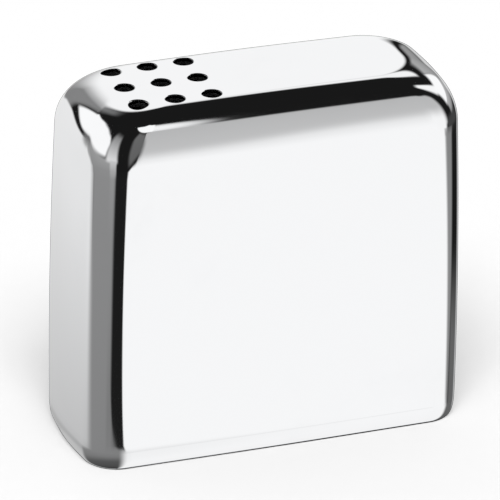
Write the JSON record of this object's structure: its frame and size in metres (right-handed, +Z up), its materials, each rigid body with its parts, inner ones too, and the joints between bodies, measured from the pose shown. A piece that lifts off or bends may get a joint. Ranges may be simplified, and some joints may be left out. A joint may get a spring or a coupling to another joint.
{
  "type": "pepper shaker",
  "caption": "Mirror-polished steel block pepper shaker with a grid of nine sift holes near one end of its top and a push-in filler stopper underneath.",
  "frame": {"origin": "centre of the footprint, on the plane of the rim that the shaker stands on", "axes": "+Z up through the sift-hole face, +X along the width towards the end without holes, +Y from the front face to the back face"},
  "size_m": [0.0524, 0.0228, 0.0496],
  "materials": {
    "polished_steel": "mirror-polished stainless steel",
    "brushed_steel": "satin-brushed pressed stainless sheet",
    "black_polymer": "fine spark-eroded black polymer",
    "grey_polymer": "matte moulded grey polymer",
    "pale_silicone": "pale food-grade silicone"
  },
  "bodies": {
    "shaker": {"body_shell": "polished_steel", "base_plate": "brushed_steel", "filler_collar": "black_polymer"},
    "stopper": {"stopper_plug": "grey_polymer", "stopper_seal": "pale_silicone"}
  },
  "joints": [
    {"name": "stopper_pull", "type": "slide", "parent": "shaker", "child": "stopper", "axis": [0, 0, -1], "range_m": [0, 0.01]}
  ]
}
